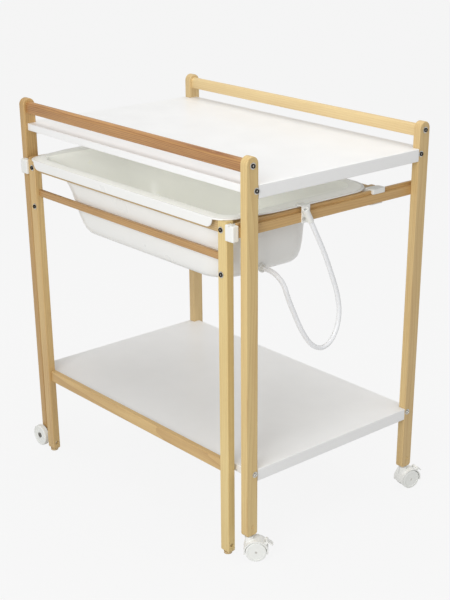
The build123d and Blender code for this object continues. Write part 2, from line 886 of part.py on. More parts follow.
def caster_hood():
    """The caster's body: a fender over both wheels, a web between them and a boss for the stem."""
    half = caster_half_wide()
    hub = (caster_trail, caster_wheel_radius)
    inner = caster_wheel_radius + caster_hood_gap
    outer = inner + caster_hood_wall
    fender = pin_y(hub[0], -half, half, hub[1], outer)
    for side in (1, -1):
        well = pin_y(hub[0], side * caster_web_thick / 2, side * (half + cut_over), hub[1], inner)
        fender = fender - well
    below = block(
        hub[0] - outer - cut_over, hub[0] + outer + cut_over, -half - cut_over, half + cut_over,
        hub[1] - outer - cut_over, caster_hood_low)
    fender = fender - below
    web_hub = pin_y(hub[0], -caster_web_thick / 2, caster_web_thick / 2, hub[1], caster_hub_radius)
    boss_top = caster_high - caster_collar_thick - sliding_gap
    boss = pin_z(0, 0, caster_wheel_radius, boss_top, caster_boss_radius)
    for side in (1, -1):
        well = pin_y(hub[0], side * caster_web_thick / 2, side * (half + cut_over), hub[1], inner)
        boss = boss - well
    body = fender + web_hub + boss
    px, pz = brake_pivot()
    for side in (1, -1):
        ear_inner = side * (brake_wide / 2 + sliding_gap)
        ear = pin_y(px, ear_inner, ear_inner + side * brake_ear_thick, pz, brake_barrel_radius)
        arm_length = brake_pivot_out + caster_hood_wall / 2
        arm = Pos(-arm_length / 2, 0, 0) * Box(arm_length, brake_ear_thick, 2 * brake_barrel_radius)
        arm_y = ear_inner + side * brake_ear_thick / 2
        body = body + ear + Pos(px, arm_y, pz) * Rot(0, -brake_pivot_angle, 0) * arm
    body = body - pin_y(px, -half, half, pz, brake_pin_radius + running_gap)
    body = body - pin_y(hub[0], -half, half, hub[1], caster_axle_radius + play / 2)
    stem_hole_top = boss_top + cut_over
    return body - pin_z(0, 0, caster_stem_low - play, stem_hole_top, caster_stem_radius + running_gap)


def caster_axle():
    """The caster's axle through both wheels."""
    reach = caster_half_wide() - caster_wheel_dish_deep
    return pin_y(caster_trail, -reach, reach, caster_wheel_radius, caster_axle_radius)


def caster_wheel(side):
    """One of a caster's two wheels, with a shallow dish in its outer face."""
    inner = side * (caster_web_thick / 2 + caster_wheel_gap)
    outer = side * caster_half_wide()
    wheel = pin_y(caster_trail, inner, outer, caster_wheel_radius, caster_wheel_radius)
    wheel = fillet(wheel.edges().filter_by(GeomType.CIRCLE), caster_wheel_round)
    dish = pin_y(
        caster_trail, outer - side * caster_wheel_dish_deep, outer + side * cut_over, caster_wheel_radius,
        caster_wheel_dish_radius)
    bore = pin_y(
        caster_trail, inner - side * cut_over, outer + side * cut_over, caster_wheel_radius,
        caster_axle_radius + running_gap)
    return wheel - dish - bore


def brake_lever():
    """The brake lever: a barrel on its pin, and a tab to press down."""
    px, pz = brake_pivot()
    reach = brake_wide / 2 + sliding_gap + brake_ear_thick
    pin = pin_y(px, -reach, reach, pz, brake_pin_radius)
    barrel = pin_y(px, -brake_wide / 2, brake_wide / 2, pz, brake_barrel_radius)
    tab = Box(brake_tab_length, brake_wide, brake_tab_thick)
    far_corners = tab.edges().filter_by(Axis.Z).group_by(Axis.X)[-1]
    tab = fillet(far_corners, brake_tab_thick)
    tab = Pos(brake_tab_length / 2, 0, brake_tab_thick / 4) * tab
    return pin + barrel + Pos(px, 0, pz) * Rot(0, brake_tab_drop_angle, 0) * tab


def save(name, solids):
    """Write one node, moved so that the origin is under the middle of the whole object."""
    placed = [Pos(frame_middle_x, frame_middle_y, 0) * solid for solid in solids]
    shape = placed[0] if len(placed) == 1 else Compound(children=placed)
    export_step(shape, f"parts/{name}.step")
    print(name)


def main():
    os.makedirs("parts", exist_ok=True)
    all_kinds = ["rail", "board", "shelf"]
    holes = bolt_holes(all_kinds)
    for depth, where in ((-1, "front"), (1, "rear")):
        guide_holes = [
            at_side(guide_screw_hole(depth, level), side) for level in (1, -1) for side in (1, -1)
        ]
        save(f"post_{where}_right", [drilled(caster_post(depth), holes + guide_holes)])
        save(f"post_{where}_left", [drilled(wheel_post(depth), holes + guide_holes)])
        save(f"top_rail_{where}", [top_rail(depth)])
        save(f"end_wheel_{where}", [end_wheel(depth)])
        place = caster_place(depth)
        save(f"caster_hood_{where}", [place * caster_hood()])
        save(f"caster_axle_{where}", [place * caster_axle()])
        save(f"caster_wheel_{where}_a", [place * caster_wheel(1)])
        save(f"caster_wheel_{where}_b", [place * caster_wheel(-1)])
        save(f"caster_brake_{where}", [place * brake_lever()])
    save("end_wheel_axles", [end_wheel_axle(depth) for depth in (1, -1)])
    save("end_wheel_nuts", [end_wheel_nut(depth) for depth in (1, -1)])
    save("end_wheel_spacers", [end_wheel_spacer(depth) for depth in (1, -1)])
    save("changing_panel", [panel(board_top, board_setback, "board")])
    save("shelf_panel", [panel(shelf_top, shelf_setback, "shelf")])
    for side, where in ((1, "right"), (-1, "left")):
        save(f"changing_strip_{where}", [end_strip(board_top, side)])
        save(f"shelf_strip_{where}", [end_strip(shelf_top, side)])
        save(f"guide_rail_{where}", [guide_rail(side)])
        save(f"bath_leg_{where}", [bath_leg(side)])
        save(f"carriage_side_bar_{where}", [side_bar(side)])
        save(f"slider_shoe_{where}", [slider_shoe(side)])
        save(f"catch_{where}", [catch(side)])
    save("top_rail_bolts", post_bolts("rail"))
    save("changing_panel_bolts", post_bolts("board"))
    save("shelf_bolts", post_bolts("shelf"))
    save("post_washers", post_washers())
    save("guide_rail_screws", guide_screws())
    save("front_glides", [front_glide(side) for side in (1, -1)])
    save("caster_stems", [caster_place(depth) * caster_stem() for depth in (1, -1)])
    stem_dowels = [
        cross_dowel(post_x, depth * post_y, short_foot + dowel_above_end)
        for depth in (1, -1)
    ]
    save("caster_stem_dowels", stem_dowels)
    save("bath_leg_bolts", leg_bolts())
    save("bath_leg_washers", leg_washers())
    save("bath_leg_feet", [leg_foot(side) for side in (1, -1)])
    save("bath_leg_dowels", [leg_dowel(side) for side in (1, -1)])
    save("carriage_top_rail", [front_rail(
        rim_underside - front_rail_high, front_rail_high, front_rail_thick, front_rail_setback)])
    save("towel_rail", [front_rail(
        towel_rail_bottom, towel_rail_high, towel_rail_thick, towel_rail_setback)])
    save("carriage_bottom_rail", [front_rail(
        bottom_rail_bottom, bottom_rail_high, bottom_rail_thick, front_rail_setback)])
    save("carriage_rear_rail", [rear_rail()])
    save("bathtub", [bathtub()])
    save("drain_outlet", [drain_outlet()])
    save("drain_strainer", [drain_strainer()])
    save("drain_hose", [drain_hose()])
    save("hose_clip", [hose_clip()])
    save("hose_clip_screw", [clip_screw()])


main()
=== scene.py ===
import math
import bmesh
import bpy
from mathutils import Matrix, Vector


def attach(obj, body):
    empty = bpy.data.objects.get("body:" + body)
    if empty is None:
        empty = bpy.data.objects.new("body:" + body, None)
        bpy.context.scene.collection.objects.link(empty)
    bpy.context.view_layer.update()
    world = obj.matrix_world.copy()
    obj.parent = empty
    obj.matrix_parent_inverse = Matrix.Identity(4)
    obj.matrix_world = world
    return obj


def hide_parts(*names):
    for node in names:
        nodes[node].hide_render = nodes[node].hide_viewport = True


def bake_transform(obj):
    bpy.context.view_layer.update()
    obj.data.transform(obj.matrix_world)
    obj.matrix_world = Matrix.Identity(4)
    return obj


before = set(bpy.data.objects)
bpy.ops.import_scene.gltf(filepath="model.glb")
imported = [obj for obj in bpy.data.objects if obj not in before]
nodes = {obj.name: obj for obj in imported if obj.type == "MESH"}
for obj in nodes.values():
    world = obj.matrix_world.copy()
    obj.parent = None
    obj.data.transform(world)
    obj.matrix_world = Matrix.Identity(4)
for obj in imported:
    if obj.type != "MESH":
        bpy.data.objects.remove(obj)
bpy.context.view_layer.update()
print("frame loaded:", len(nodes), "pieces")


def newMaterial(name):
    material = bpy.data.materials.new(name)
    material.use_nodes = True
    tree = material.node_tree
    tree.nodes.clear()
    output = tree.nodes.new("ShaderNodeOutputMaterial")
    shader = tree.nodes.new("ShaderNodeBsdfPrincipled")
    tree.links.new(shader.outputs["BSDF"], output.inputs["Surface"])
    return material, tree, shader


def newGroup(name, inputs, outputs):
    group = bpy.data.node_groups.new(name, "ShaderNodeTree")
    for socketName, kind, value in inputs:
        socket = group.interface.new_socket(name=socketName, in_out="INPUT", socket_type=kind)
        if value is not None:
            socket.default_value = value
    for socketName, kind in outputs:
        group.interface.new_socket(name=socketName, in_out="OUTPUT", socket_type=kind)
    return group, group.nodes.new("NodeGroupInput"), group.nodes.new("NodeGroupOutput")


def mathNode(tree, operation, first, second=None, clamp=False):
    node = tree.nodes.new("ShaderNodeMath")
    node.operation = operation
    node.use_clamp = clamp
    for index, value in enumerate((first, second)):
        if value is None:
            continue
        if isinstance(value, (int, float)):
            node.inputs[index].default_value = value
        else:
            tree.links.new(value, node.inputs[index])
    return node.outputs[0]


def mixColour(tree, factor, first, second):
    node = tree.nodes.new("ShaderNodeMix")
    node.data_type = "RGBA"
    for socket, value in ((node.inputs[0], factor), (node.inputs[6], first), (node.inputs[7], second)):
        if isinstance(value, (int, float, tuple)):
            socket.default_value = value
        else:
            tree.links.new(value, socket)
    return node.outputs[2]


def noiseNode(tree, vector, scale, detail=2.0, roughness=0.5):
    node = tree.nodes.new("ShaderNodeTexNoise")
    node.inputs["Scale"].default_value = scale
    node.inputs["Detail"].default_value = detail
    node.inputs["Roughness"].default_value = roughness
    tree.links.new(vector, node.inputs["Vector"])
    return node.outputs["Fac"]


def stretchNode(tree, vector, scale):
    node = tree.nodes.new("ShaderNodeVectorMath")
    node.operation = "MULTIPLY"
    node.inputs[1].default_value = scale
    tree.links.new(vector, node.inputs[0])
    return node.outputs[0]


def bumpNode(tree, height, strength, distance):
    node = tree.nodes.new("ShaderNodeBump")
    node.inputs["Strength"].default_value = strength
    node.inputs["Distance"].default_value = distance
    tree.links.new(height, node.inputs["Height"])
    return node.outputs["Normal"]


def linear(colour):  # a colour written as 0 to 255, as it looks on screen
    parts = []
    for share in (part / 255 for part in colour):
        parts.append(share / 12.92 if share <= 0.04045 else ((share + 0.055) / 1.055) ** 2.4)
    return (*parts, 1)


def objectPlace(tree, location, turn=(0, 0, 0)):
    coordinates = tree.nodes.new("ShaderNodeTexCoord")
    mapping = tree.nodes.new("ShaderNodeMapping")
    mapping.inputs["Location"].default_value = location
    mapping.inputs["Rotation"].default_value = turn
    tree.links.new(coordinates.outputs["Object"], mapping.inputs["Vector"])
    return mapping.outputs["Vector"]


def makeWoodGrain():
    # the grain runs along the vector's Z: growth rings round a pith beside the piece, fine streaks, flecks
    group, start, end = newGroup(
        "woodGrain",
        [("Vector", "NodeSocketVector", None), ("Light", "NodeSocketColor", (0.7, 0.5, 0.3, 1)),
         ("Dark", "NodeSocketColor", (0.5, 0.3, 0.15, 1)), ("Ring Spacing", "NodeSocketFloat", 0.004),
         ("Ring Strength", "NodeSocketFloat", 0.5), ("Streak Strength", "NodeSocketFloat", 0.5)],
        [("Color", "NodeSocketColor"), ("Roughness", "NodeSocketFloat"), ("Height", "NodeSocketFloat")])
    vector = start.outputs["Vector"]
    slow = stretchNode(group, vector, (9, 9, 1.1))
    warp = noiseNode(group, slow, 1.0, 2.0)
    separate = group.nodes.new("ShaderNodeSeparateXYZ")
    group.links.new(vector, separate.inputs[0])
    across = mathNode(group, "MULTIPLY", separate.outputs[0], separate.outputs[0])
    deep = mathNode(group, "MULTIPLY", separate.outputs[1], separate.outputs[1])
    reach = mathNode(group, "SQRT", mathNode(group, "ADD", across, deep))
    bent = mathNode(group, "ADD", reach, mathNode(group, "MULTIPLY", warp, 0.045))
    count = mathNode(group, "DIVIDE", bent, start.outputs["Ring Spacing"])
    rings = mathNode(group, "FRACT", count)
    late = mathNode(group, "POWER", rings, 2.6)
    fine = noiseNode(group, stretchNode(group, vector, (520, 520, 9)), 1.0, 3.0, 0.6)
    fleck = noiseNode(group, stretchNode(group, vector, (1500, 1500, 60)), 1.0, 1.0, 0.5)
    broad = noiseNode(group, stretchNode(group, vector, (30, 30, 2.2)), 1.0, 2.0)
    ringPart = mathNode(group, "MULTIPLY", late, start.outputs["Ring Strength"])
    streaks = mathNode(group, "SUBTRACT", fine, 0.35)
    streakPart = mathNode(group, "MULTIPLY", streaks, start.outputs["Streak Strength"])
    broadPart = mathNode(group, "MULTIPLY", mathNode(group, "SUBTRACT", broad, 0.45), 0.9)
    total = mathNode(group, "ADD", mathNode(group, "ADD", ringPart, streakPart), broadPart)
    flecks = mathNode(group, "MULTIPLY", mathNode(group, "GREATER_THAN", fleck, 0.64), 0.16)
    mask = mathNode(group, "ADD", total, flecks, clamp=True)
    colour = mixColour(group, mask, start.outputs["Light"], start.outputs["Dark"])
    group.links.new(colour, end.inputs["Color"])
    rough = mathNode(group, "ADD", mathNode(group, "MULTIPLY", fine, 0.16), 0.36)
    group.links.new(rough, end.inputs["Roughness"])
    pores = mathNode(group, "ADD", mathNode(group, "MULTIPLY", fine, 0.6), flecks)
    height = mathNode(group, "SUBTRACT", 1.0, pores)
    group.links.new(height, end.inputs["Height"])
    return group


def makeMouldedSkin():
    # the faint unevenness of a moulded or faced surface
    group, start, end = newGroup(
        "mouldedSkin",
        [("Vector", "NodeSocketVector", None), ("Color", "NodeSocketColor", (0.8, 0.8, 0.8, 1)),
         ("Grain Size", "NodeSocketFloat", 0.0008), ("Roughness", "NodeSocketFloat", 0.35)],
        [("Color", "NodeSocketColor"), ("Roughness", "NodeSocketFloat"), ("Height", "NodeSocketFloat")])
    vector = start.outputs["Vector"]
    scale = mathNode(group, "DIVIDE", 1.0, start.outputs["Grain Size"])
    grain = group.nodes.new("ShaderNodeTexNoise")
    grain.inputs["Detail"].default_value = 1.5
    group.links.new(vector, grain.inputs["Vector"])
    group.links.new(scale, grain.inputs["Scale"])
    cloud = noiseNode(group, vector, 14.0, 3.0)
    shade = mathNode(group, "ADD", mathNode(group, "MULTIPLY", cloud, 0.05), 0.965)
    tint = group.nodes.new("ShaderNodeVectorMath")
    tint.operation = "SCALE"
    group.links.new(start.outputs["Color"], tint.inputs[0])
    group.links.new(shade, tint.inputs["Scale"])
    group.links.new(tint.outputs[0], end.inputs["Color"])
    spread = mathNode(group, "MULTIPLY", mathNode(group, "SUBTRACT", cloud, 0.5), 0.16)
    group.links.new(mathNode(group, "ADD", start.outputs["Roughness"], spread), end.inputs["Roughness"])
    group.links.new(grain.outputs["Fac"], end.inputs["Height"])
    return group


woodGrain = makeWoodGrain()
mouldedSkin = makeMouldedSkin()


def placeGroup(tree, group, vector, values):
    node = tree.nodes.new("ShaderNodeGroup")
    node.node_tree = group
    tree.links.new(vector, node.inputs["Vector"])
    for key, value in values.items():
        node.inputs[key].default_value = value
    return node


def woodMaterial(name, along, light, dark, offset, ringSpacing=0.0045, ringStrength=0.45, streakStrength=0.8):
    material, tree, shader = newMaterial(name)
    turn = {"x": (0, math.radians(-90), 0), "y": (math.radians(90), 0, 0), "z": (0, 0, 0)}[along]
    vector = objectPlace(tree, offset, turn)
    grain = placeGroup(tree, woodGrain, vector, {
        "Light": linear(light), "Dark": linear(dark), "Ring Spacing": ringSpacing,
        "Ring Strength": ringStrength, "Streak Strength": streakStrength})
    tree.links.new(grain.outputs["Color"], shader.inputs["Base Color"])
    tree.links.new(grain.outputs["Roughness"], shader.inputs["Roughness"])
    tree.links.new(bumpNode(tree, grain.outputs["Height"], 0.25, 0.0002), shader.inputs["Normal"])
    shader.inputs["Coat Weight"].default_value = 0.12
    shader.inputs["Coat Roughness"].default_value = 0.3
    return material


def plasticMaterial(name, colour, roughness, grainSize, bump, paintedGlow=0.0):
    material, tree, shader = newMaterial(name)
    vector = objectPlace(tree, (0.31, 0.17, 0.05))
    skin = placeGroup(tree, mouldedSkin, vector, {
        "Color": linear(colour), "Grain Size": grainSize, "Roughness": roughness})
    tree.links.new(skin.outputs["Color"], shader.inputs["Base Color"])
    tree.links.new(skin.outputs["Roughness"], shader.inputs["Roughness"])
    tree.links.new(bumpNode(tree, skin.outputs["Height"], bump, 0.0002), shader.inputs["Normal"])
    # Painted glow: emission in the plastic's own colour makes it glow though it is no lamp, standing in for
    # light through thin plastic.
    shader.inputs["Emission Color"].default_value = linear(colour)
    shader.inputs["Emission Strength"].default_value = paintedGlow  # stands in for light through thin plastic
    return material


def metalMaterial(name, colour, roughness):
    material, tree, shader = newMaterial(name)
    vector = objectPlace(tree, (0.02, 0.07, 0.01))
    skin = placeGroup(tree, mouldedSkin, vector, {
        "Color": linear(colour), "Grain Size": 0.0006, "Roughness": roughness})
    tree.links.new(skin.outputs["Color"], shader.inputs["Base Color"])
    tree.links.new(skin.outputs["Roughness"], shader.inputs["Roughness"])
    tree.links.new(bumpNode(tree, skin.outputs["Height"], 0.2, 0.0001), shader.inputs["Normal"])
    shader.inputs["Metallic"].default_value = 1.0
    return material


def finish(nodeName, material):
    piece = nodes[nodeName]
    for slot in piece.material_slots:
        slot.material = material


wood = {
    # node: grain direction, light, dark, ring spacing, ring strength, streak strength
    "post_front_right": ("z", (222, 195, 136), (190, 150, 94), 0.0055, 0.35, 0.7),
    "post_rear_right": ("z", (220, 192, 136), (186, 144, 91), 0.0050, 0.35, 0.7),
    "post_front_left": ("z", (203, 168, 110), (163, 120, 70), 0.0045, 0.50, 0.9),
    "post_rear_left": ("z", (220, 194, 142), (186, 146, 93), 0.0050, 0.35, 0.7),
    "bath_leg_right": ("z", (229, 205, 144), (200, 165, 104), 0.0060, 0.30, 0.6),
    "bath_leg_left": ("z", (219, 189, 130), (184, 142, 89), 0.0050, 0.40, 0.8),
    "top_rail_front": ("x", (198, 151, 95), (136, 86, 49), 0.0038, 0.65, 1.1),
    "top_rail_rear": ("x", (229, 204, 152), (198, 161, 104), 0.0055, 0.30, 0.6),
    "guide_rail_right": ("y", (215, 178, 118), (175, 129, 76), 0.0045, 0.45, 0.8),
    "guide_rail_left": ("y", (215, 178, 118), (175, 129, 76), 0.0045, 0.45, 0.8),
    "carriage_top_rail": ("x", (208, 180, 129), (167, 129, 80), 0.0045, 0.45, 0.8),
    "towel_rail": ("x", (200, 159, 103), (147, 104, 61), 0.0040, 0.50, 0.9),
    "carriage_bottom_rail": ("x", (219, 186, 127), (178, 137, 84), 0.0050, 0.40, 0.8),
    "carriage_rear_rail": ("x", (219, 188, 133), (180, 139, 86), 0.0050, 0.40, 0.8),
    "carriage_side_bar_right": ("y", (219, 186, 129), (178, 137, 84), 0.0050, 0.40, 0.8),
    "carriage_side_bar_left": ("y", (219, 186, 129), (178, 137, 84), 0.0050, 0.40, 0.8),
}
for number, (nodeName, (along, light, dark, spacing, rings, streaks)) in enumerate(wood.items()):
    shift = (0.071 + 0.013 * number, 0.043 - 0.009 * number, 0.37 * number)
    finish(nodeName, woodMaterial("wood " + nodeName, along, light, dark, shift, spacing, rings, streaks))
print("wood finished:", len(wood), "pieces")

plastics = {
    # name: colour, roughness, grain size, bump, painted glow (emission standing in for light through thin
    # plastic), the nodes that take it
    "white melamine": ((248, 248, 247), 0.34, 0.0006, 0.10, 0.0, (
        "changing_panel", "shelf_panel", "changing_strip_left", "changing_strip_right",
        "shelf_strip_left", "shelf_strip_right")),
    # The bath plastic has a faint painted glow. Its inside copy is brighter and has a stronger painted glow,
    # standing in for light through the thin walls onto the shaded inside.
    "bath plastic": ((240, 240, 237), 0.30, 0.0014, 0.05, 0.04, ("bathtub",)),
    "bath plastic inside with painted glow": ((247, 247, 240), 0.30, 0.0014, 0.05, 0.125, ()),
    "fitting plastic": ((242, 242, 238), 0.38, 0.0005, 0.12, 0.0, (
        "slider_shoe_left", "slider_shoe_right", "catch_left", "catch_right", "front_glides",
        "hose_clip")),
    "foot plastic": ((206, 180, 134), 0.50, 0.0005, 0.12, 0.0, ("bath_leg_feet",)),
    "wheel plastic": ((244, 245, 241), 0.42, 0.0007, 0.12, 0.0, (
        "end_wheel_front", "end_wheel_rear", "caster_wheel_front_a", "caster_wheel_front_b",
        "caster_wheel_rear_a", "caster_wheel_rear_b")),
    "caster plastic": ((247, 247, 243), 0.34, 0.0007, 0.12, 0.0, (
        "caster_hood_front", "caster_hood_rear", "caster_brake_front", "caster_brake_rear")),
    "drain plastic": ((236, 236, 232), 0.40, 0.0006, 0.12, 0.0, ("drain_outlet", "drain_strainer")),
}
plasticFinishes = {}
# deep carries each finish's painted glow strength.
for name, (colour, roughness, grain, bump, deep, places) in plastics.items():
    plasticFinishes[name] = plasticMaterial(name, colour, roughness, grain, bump, deep)
    for nodeName in places:
        finish(nodeName, plasticFinishes[name])
darkSteel = metalMaterial("blackened steel", (58, 54, 50), 0.38)
brightSteel = metalMaterial("zinc plated steel", (206, 204, 198), 0.34)
dullSteel = metalMaterial("dull steel", (128, 124, 118), 0.42)
yellowSteel = metalMaterial("yellow zinc steel", (204, 178, 130), 0.45)
for nodeName in (
        "caster_axle_front", "caster_axle_rear", "caster_stems", "end_wheel_spacers", "guide_rail_screws",
        "hose_clip_screw", "bath_leg_dowels", "post_washers", "shelf_bolts", "bath_leg_washers"):
    finish(nodeName, brightSteel)
for nodeName in ("end_wheel_axles", "end_wheel_nuts"):
    finish(nodeName, dullSteel)
finish("caster_stem_dowels", yellowSteel)
for nodeName in ("top_rail_bolts", "changing_panel_bolts", "bath_leg_bolts"):
    finish(nodeName, darkSteel)
print("plastics and metals finished")


bath = {
    "rimTop": 0.822, "rimThick": 0.004, "edgeRound": 0.0018,
    "middle": (-0.008, -0.0875),
    "rimReach": (0.4005, 0.2304), "rimCornerFront": 0.045, "rimCornerRear": 0.075,
    "frontNarrow": 0.040, "narrowFrom": -0.165, "narrowOver": 0.110,
    "openingReach": (0.359, 0.1985), "openingCornerFront": 0.036, "openingCornerRear": 0.045,
    "lipRound": 0.0032, "rimBand": 0.006, "underRound": 0.001,
    "deep": 0.156, "wall": 0.003, "floorShares": (0.9, 0.6, 0.25),
    "cornerSteps": 12, "sideSteps": 8,
    "skirtHalf": 0.3465, "skirtLow": 0.799, "skirtThick": 0.004, "skirtCorner": 0.018,
    "skirtRound": 0.0016, "skirtInset": 0.00005,
    # levels: depth, insets of front, rear, right and left as shares of the opening, corner
    "levelShares": [
        (0.052, 0.001, 0.080, 0.001, 0.019, 0.130), (0.110, 0.002, 0.150, 0.002, 0.039, 0.170),
        (0.213, 0.004, 0.225, 0.004, 0.065, 0.205), (0.310, 0.005, 0.262, 0.006, 0.084, 0.220),
        (0.413, 0.008, 0.285, 0.009, 0.099, 0.220), (0.580, 0.011, 0.290, 0.017, 0.125, 0.200),
        (0.700, 0.015, 0.291, 0.025, 0.143, 0.182), (0.840, 0.023, 0.291, 0.038, 0.164, 0.166),
        (0.923, 0.033, 0.293, 0.047, 0.177, 0.160), (0.975, 0.048, 0.303, 0.058, 0.188, 0.150),
        (1.000, 0.081, 0.330, 0.077, 0.206, 0.130)],
}


def roundedLoop(x0, x1, y0, y1, z, frontRadius, rearRadius):  # the same count of points at any size
    corners = [
        (x1, y0, -90, frontRadius), (x1, y1, 0, rearRadius),
        (x0, y1, 90, rearRadius), (x0, y0, 180, frontRadius)]
    points = []
    for number, (x, y, begin, radius) in enumerate(corners):
        middleX = x - math.copysign(radius, x - (x0 + x1) / 2)
        middleY = y - math.copysign(radius, y - (y0 + y1) / 2)
        arc = []
        for step in range(bath["cornerSteps"] + 1):
            angle = math.radians(begin + 90 * step / bath["cornerSteps"])
            arc.append((middleX + radius * math.cos(angle), middleY + radius * math.sin(angle)))
        if points:
            points += sideBetween(points[-1], arc[0])
        points += arc
    points += sideBetween(points[-1], points[0])
    return [Vector((x, y, z)) for x, y in points]


def sideBetween(here, there):
    steps = bath["sideSteps"]
    return [tuple(h + (t - h) * step / steps for h, t in zip(here, there)) for step in range(1, steps)]


def rimLoop(shrink, z):
    middleX, middleY = bath["middle"]
    reachX, reachY = bath["rimReach"]
    loop = roundedLoop(
        middleX - reachX + shrink, middleX + reachX - shrink, middleY - reachY + shrink,
        middleY + reachY - shrink, z, bath["rimCornerFront"], bath["rimCornerRear"])
    for point in loop:  # the rim's ends draw in towards the front
        way = min(1, max(0, (bath["narrowFrom"] - point.y) / bath["narrowOver"]))
        point.x = middleX + (point.x - middleX) * (1 - bath["frontNarrow"] * way * way * (3 - 2 * way))
    return loop


def bathLevel(shares, grow, lift):
    depth, front, rear, right, left, corner = shares
    middleX, middleY = bath["middle"]
    reachX, reachY = bath["openingReach"]
    z = bath["rimTop"] - bath["rimThick"] - depth * bath["deep"] - lift
    radius = corner * 2 * reachY + grow
    return roundedLoop(
        middleX - reachX + left * 2 * reachX - grow, middleX + reachX - right * 2 * reachX + grow,
        middleY - reachY + front * 2 * reachY - grow, middleY + reachY - rear * 2 * reachY + grow,
        z, radius, radius)


def openingLoop(grow, z):
    middleX, middleY = bath["middle"]
    reachX, reachY = bath["openingReach"]
    return roundedLoop(
        middleX - reachX - grow, middleX + reachX + grow, middleY - reachY - grow,
        middleY + reachY + grow, z, bath["openingCornerFront"] + grow, bath["openingCornerRear"] + grow)


def floorLoops(edge, z):  # the floor, drawn in to its middle
    middle = sum(edge, Vector()) / len(edge)
    middle.z = z
    return [[middle + (point - middle) * share for point in edge] for share in bath["floorShares"]], middle


def bathLoops():
    top, soft, lip, band = bath["rimTop"], bath["edgeRound"], bath["lipRound"], bath["rimBand"]
    under = top - bath["rimThick"]
    outside = [bathLevel(shares, bath["wall"], bath["wall"] * shares[0]) for shares in bath["levelShares"]]
    inside = [bathLevel(shares, 0, 0) for shares in bath["levelShares"]]
    outerFloor, outerMiddle = floorLoops(outside[-1], outside[-1][0].z)
    innerFloor, innerMiddle = floorLoops(inside[-1], inside[-1][0].z)
    loops = list(reversed(outerFloor)) + list(reversed(outside))
    loops.append(openingLoop(bath["wall"], under - bath["underRound"]))
    loops.append(openingLoop(bath["wall"] + bath["underRound"], under))
    for shrink, z in ((band, under), (soft, under), (soft * 0.3, under + soft * 0.3), (0, under + soft)):
        loops.append(rimLoop(shrink, z))
    for shrink, z in ((0, top - soft), (soft * 0.3, top - soft * 0.3), (soft, top), (band, top)):
        loops.append(rimLoop(shrink, z))
    # The inside's finish is the brighter copy with the stronger painted glow.
    insideFrom = len(loops) - 1  # from here on the faces take the inside's finish
    for turn in (90, 67, 45, 22, 0):  # the soft lip round the opening
        angle = math.radians(turn)
        loops.append(openingLoop(lip * (1 - math.cos(angle)), top - lip * (1 - math.sin(angle))))
    return loops + inside + innerFloor, outerMiddle, innerMiddle, insideFrom


def skirtMesh(mesh):  # the deeper front of the rim
    middleX, middleY = bath["middle"]
    face = middleY - bath["rimReach"][1] + bath["skirtInset"]
    half, low, top = bath["skirtHalf"], bath["skirtLow"], bath["rimTop"] - bath["edgeRound"]
    outline = [(half, top), (half, low + bath["skirtCorner"])]
    for step in range(1, 9):
        angle = math.radians(90 * step / 8)
        outline.append((
            half - bath["skirtCorner"] * (1 - math.cos(angle)),
            low + bath["skirtCorner"] * (1 - math.sin(angle))))
    outline = outline + [(-x, z) for x, z in reversed(outline)]
    shape = bmesh.new()
    front = [shape.verts.new((middleX + x, face, z)) for x, z in outline]
    back = [shape.verts.new((middleX + x, face + bath["skirtThick"], z)) for x, z in outline]
    shape.faces.new(front)
    shape.faces.new(list(reversed(back)))
    for index in range(len(front)):
        after = (index + 1) % len(front)
        shape.faces.new((front[index], back[index], back[after], front[after]))
    bmesh.ops.recalc_face_normals(shape, faces=shape.faces)
    edges = [edge for edge in shape.edges if abs(edge.verts[0].co.y - edge.verts[1].co.y) < 1e-5]
    bmesh.ops.bevel(shape, geom=edges, offset=bath["skirtRound"], segments=4, affect="EDGES", profile=0.5)
    shape.to_mesh(mesh)
    shape.free()


def makeBath():
    loops, outerMiddle, innerMiddle, insideFrom = bathLoops()
    count = len(loops[0])
    verts = [point for loop in loops for point in loop] + [outerMiddle, innerMiddle]
    faces = []
    for row in range(len(loops) - 1):
        for index in range(count):
            after = (index + 1) % count
            here, above = row * count, (row + 1) * count
            faces.append((here + index, here + after, above + after, above + index))
    last = (len(loops) - 1) * count
    for index in range(count):
        after = (index + 1) % count
        faces.append((after, index, len(verts) - 2))
        faces.append((last + index, last + after, len(verts) - 1))
    shell = bpy.data.meshes.new("bath_shell")
    shell.from_pydata(verts, [], faces)
    skirt = bpy.data.meshes.new("bath_skirt")
    skirtMesh(skirt)
    shape = bmesh.new()
    shape.from_mesh(shell)
    shape.from_mesh(skirt)
    bmesh.ops.recalc_face_normals(shape, faces=shape.faces)
    shape.to_mesh(shell)
    shape.free()
    for polygon in shell.polygons:
        polygon.use_smooth = len(polygon.vertices) < 5  # not the skirt's flat front and back
        # the last faces of the shell close its outer and its inner floor in turn
        below = last <= polygon.index < last + 2 * count and (polygon.index - last) % 2 == 1
        polygon.material_index = int(insideFrom * count <= polygon.index < last or below)
    piece = bpy.data.objects.new("bath_shell", shell)
    bpy.context.scene.collection.objects.link(piece)
    # The second finish, for the inside, is the brighter copy with the stronger painted glow.
    shell.materials.append(plasticFinishes["bath plastic"])
    shell.materials.append(plasticFinishes["bath plastic inside with painted glow"])
    return piece


bathPiece = makeBath()
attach(bathPiece, "bath_carriage")
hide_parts("bathtub")
print("bath finished:", len(bathPiece.data.polygons), "faces")


bolts = {
    "washerOuter": 0.0075, "washerInner": 0.0032, "washerHigh": 0.0012,
    "headOuter": 0.005, "headInner": 0.0026, "headHigh": 0.003,
    "postFace": 0.4335, "rail": (0.269, 0.9425), "board": (0.2584, 0.888), "shelf": (0.261, 0.2234),
    "legPlace": 0.3675, "legFace": -0.3007, "legHeights": (0.798, 0.698), "shift": (-0.008, -0.008),
}


